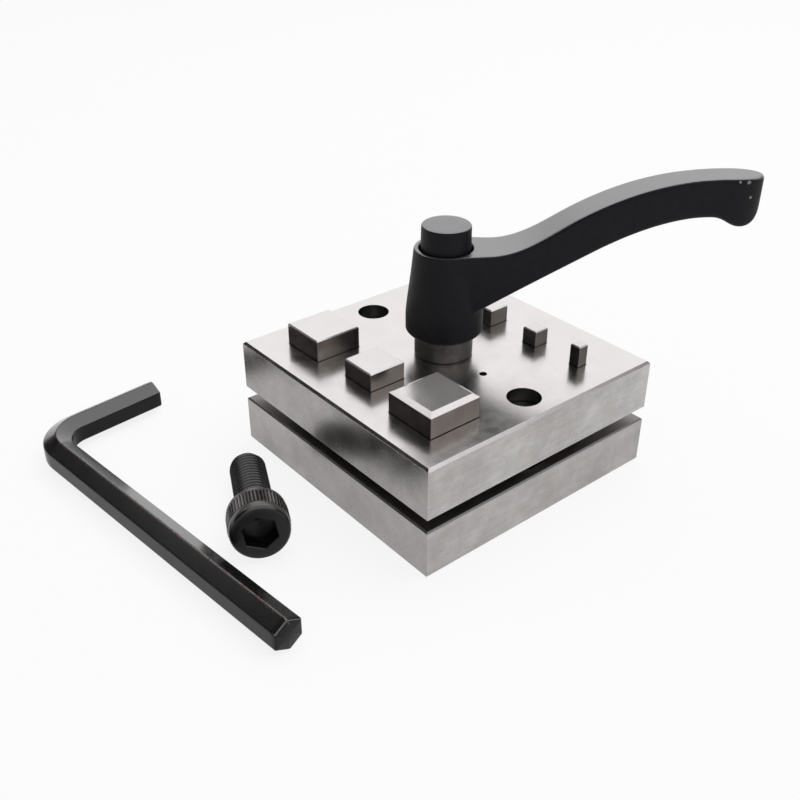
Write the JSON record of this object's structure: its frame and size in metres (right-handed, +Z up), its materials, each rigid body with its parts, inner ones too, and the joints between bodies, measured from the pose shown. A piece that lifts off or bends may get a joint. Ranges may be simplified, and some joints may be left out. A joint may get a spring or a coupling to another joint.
{
  "type": "disc cutter",
  "caption": "Disc cutter for square blanks: steel die and guide plates clamped by an adjustable lever, with sliding square punches, a spare clamp screw and its hex key.",
  "frame": {"origin": "centre of the die plate's bottom face, on the bench", "axes": "+X and +Y along the plate's edges, +X towards the row of small punches; +Z up along the clamp"},
  "size_m": [0.1567, 0.1284, 0.083],
  "materials": {
    "die_steel": "ground tool steel",
    "guide_steel": "ground and polished tool steel",
    "punch_steel": "ground hardened steel",
    "pin_steel": "hardened ground dowel",
    "spring_steel": "drawn spring wire",
    "stud_steel": "steel thread, oiled",
    "insert_steel": "turned steel, darkened",
    "lever_coat": "black powder coat on a zinc casting",
    "button_plastic": "moulded black plastic",
    "zinc_steel": "zinc plated steel",
    "black_screw": "black oxide on steel",
    "black_key": "black oxide on steel, edges worn"
  },
  "bodies": {
    "die_base": {"die_plate": "die_steel", "guide_pin_front": "pin_steel", "guide_pin_back": "pin_steel", "lift_spring_front": "spring_steel", "lift_spring_back": "spring_steel"},
    "guide_plate": {"guide_plate": "guide_steel"},
    "clamp": {"clamp_stud": "stud_steel", "clamp_insert": "insert_steel", "retaining_screw": "zinc_steel", "push_button": "button_plastic", "index_spring": "spring_steel"},
    "lever": {"lever": "lever_coat"},
    "cap_screw": {"cap_screw": "black_screw"},
    "hex_key": {"hex_key": "black_key"},
    "punch_3mm": {"punch_3mm": "punch_steel"},
    "punch_5mm": {"punch_5mm": "punch_steel"},
    "punch_6mm": {"punch_6mm": "punch_steel"},
    "punch_9mm": {"punch_9mm": "punch_steel"},
    "punch_16mm": {"punch_16mm": "punch_steel"},
    "punch_11mm": {"punch_11mm": "punch_steel"},
    "punch_14mm": {"punch_14mm": "punch_steel"}
  },
  "joints": [
    {"name": "guide_slide", "type": "slide", "parent": "die_base", "child": "guide_plate", "axis": [0, 0, 1], "range_m": [-0.003, 0.0015], "stiffness_N_per_m": 3000, "springref_m": 0.006, "deforming": ["lift_spring_front", "lift_spring_back"]},
    {"name": "clamp_turn", "type": "hinge", "parent": "guide_plate", "child": "clamp", "pos_m": [0, 0, 0.0324], "axis": [0, 0, 1], "range_deg": [-720, 360]},
    {"name": "lever_lift", "type": "slide", "parent": "clamp", "child": "lever", "axis": [0, 0, 1], "range_m": [0, 0.0035], "stiffness_N_per_m": 600, "springref_m": -0.004, "deforming": ["index_spring"]},
    {"name": "punch_3mm_slide", "type": "slide", "parent": "die_base", "child": "punch_3mm", "axis": [0, 0, 1], "range_m": [0, 0.018]},
    {"name": "punch_5mm_slide", "type": "slide", "parent": "die_base", "child": "punch_5mm", "axis": [0, 0, 1], "range_m": [0, 0.013]},
    {"name": "punch_6mm_slide", "type": "slide", "parent": "die_base", "child": "punch_6mm", "axis": [0, 0, 1], "range_m": [0, 0.036]},
    {"name": "punch_9mm_slide", "type": "slide", "parent": "die_base", "child": "punch_9mm", "axis": [0, 0, 1], "range_m": [0, 0.036]},
    {"name": "punch_16mm_slide", "type": "slide", "parent": "die_base", "child": "punch_16mm", "axis": [0, 0, 1], "range_m": [0, 0.036]},
    {"name": "punch_11mm_slide", "type": "slide", "parent": "die_base", "child": "punch_11mm", "axis": [0, 0, 1], "range_m": [0, 0.036]},
    {"name": "punch_14mm_slide", "type": "slide", "parent": "die_base", "child": "punch_14mm", "axis": [0, 0, 1], "range_m": [0, 0.036]},
    {"name": "cap_screw_lift", "type": "slide", "parent": "die_base", "child": "cap_screw", "axis": [0, 0, 1], "range_m": [0, 0.05]},
    {"name": "hex_key_lift", "type": "slide", "parent": "die_base", "child": "hex_key", "axis": [0, 0, 1], "range_m": [0, 0.05]}
  ],
  "couplings": [
    {"joint": "clamp_turn", "follows": "guide_slide", "rad_per_m": 4188.8}
  ]
}
